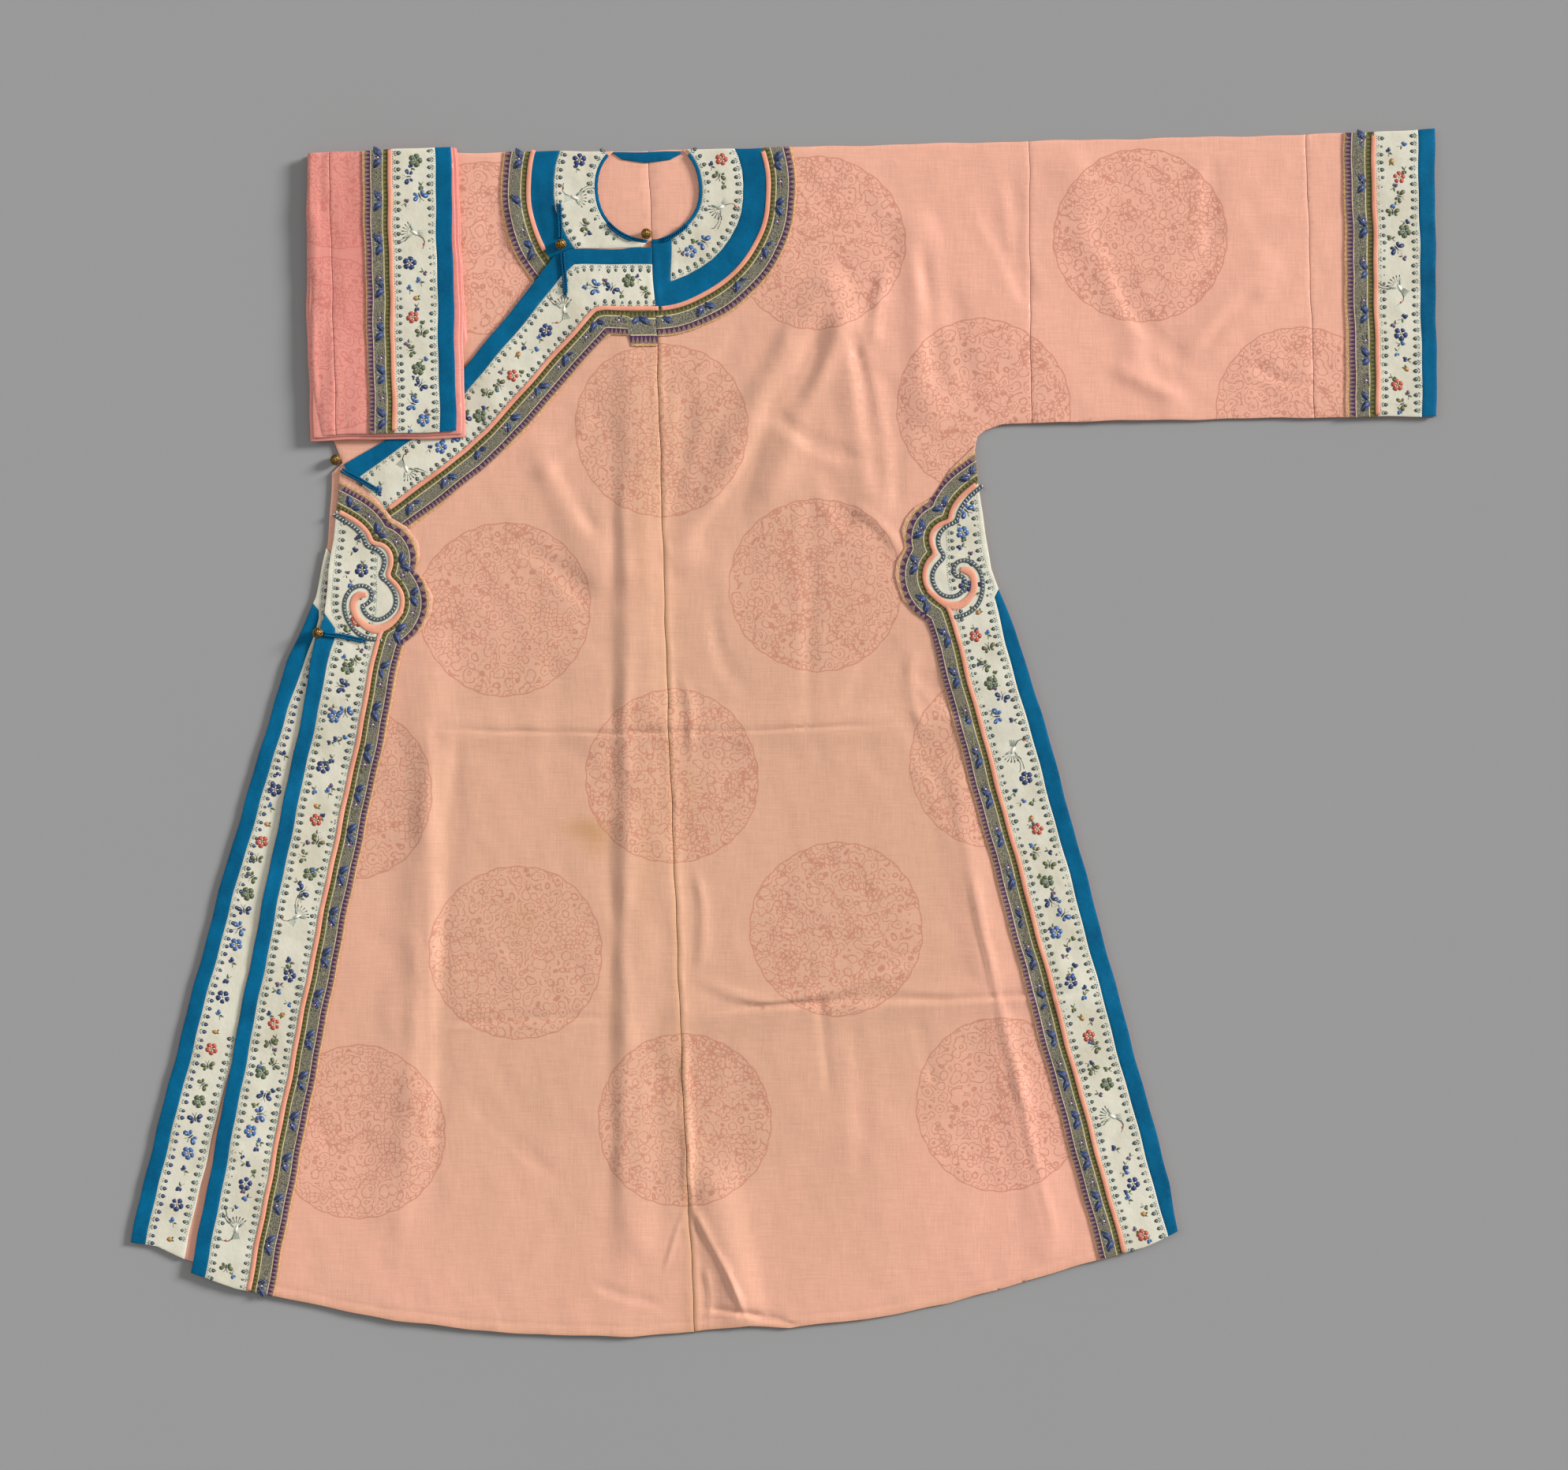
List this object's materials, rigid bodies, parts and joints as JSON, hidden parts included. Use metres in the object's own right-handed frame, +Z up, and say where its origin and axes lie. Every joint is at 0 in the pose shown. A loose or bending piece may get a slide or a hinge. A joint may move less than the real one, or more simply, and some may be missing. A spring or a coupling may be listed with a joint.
{
  "type": "silk robe laid flat",
  "caption": "Flat-laid silk robe with a slanting side closing, round collar, embroidered and woven trims, one sleeve stretched out and one folded over the shoulder.",
  "frame": {"origin": "middle of the robe's outline, on the surface that it lies on", "axes": "+X to the viewer's right, along the stretched sleeve; +Y towards the shoulders; +Z up from the surface"},
  "size_m": [1.2076, 1.1166, 0.0158],
  "materials": {
    "silk": "satin",
    "blue": "satin",
    "cream": "satin",
    "ribbon": "woven",
    "piping": "satin",
    "gimp": "braided",
    "cord": "satin",
    "gilt": "filigree"
  },
  "bodies": {
    "root": {"left_half": "silk", "right_half_with_underlap": "silk", "overlap": "silk", "left_sleeve_middle": "silk", "left_sleeve_end": "silk", "right_sleeve_hidden_layers": "silk", "right_sleeve_middle": "silk", "right_sleeve_end": "silk", "left_cuff_ribbon": "ribbon", "left_cuff_cream": "cream", "left_cuff_blue": "blue", "left_cuff_piping": "piping", "right_cuff_ribbon": "ribbon", "right_cuff_cream": "cream", "right_cuff_blue": "blue", "right_cuff_piping": "piping", "collar_left_blue": "blue", "collar_left_cream": "cream", "collar_left_binding": "blue", "collar_left_ribbon": "ribbon", "collar_left_piping": "piping", "collar_right_binding": "blue", "collar_right_ribbon": "ribbon", "collar_right_cream": "cream", "collar_right_blue": "blue", "collar_right_piping": "piping", "back_neck_facing": "blue", "lapel_blue": "blue", "lapel_cream": "cream", "lapel_ribbon": "ribbon", "lapel_piping": "piping", "overlap_side_blue": "blue", "overlap_side_cream": "cream", "overlap_side_ribbon": "ribbon", "overlap_side_piping": "piping", "overlap_side_gimp": "gimp", "left_side_blue": "blue", "left_side_cream": "cream", "left_side_ribbon": "ribbon", "left_side_piping": "piping", "left_side_gimp": "gimp", "underlap_side_blue": "blue", "underlap_side_cream": "cream", "button_neck": "gilt", "button_collar_corner": "gilt", "button_underarm": "gilt", "button_slit": "gilt", "cord_collar_corner_upper": "cord", "cord_collar_corner_lower": "cord", "cord_underarm": "cord", "cord_slit": "cord", "cord_neck_right": "cord", "cord_neck_left": "cord"}
  },
  "joints": []
}
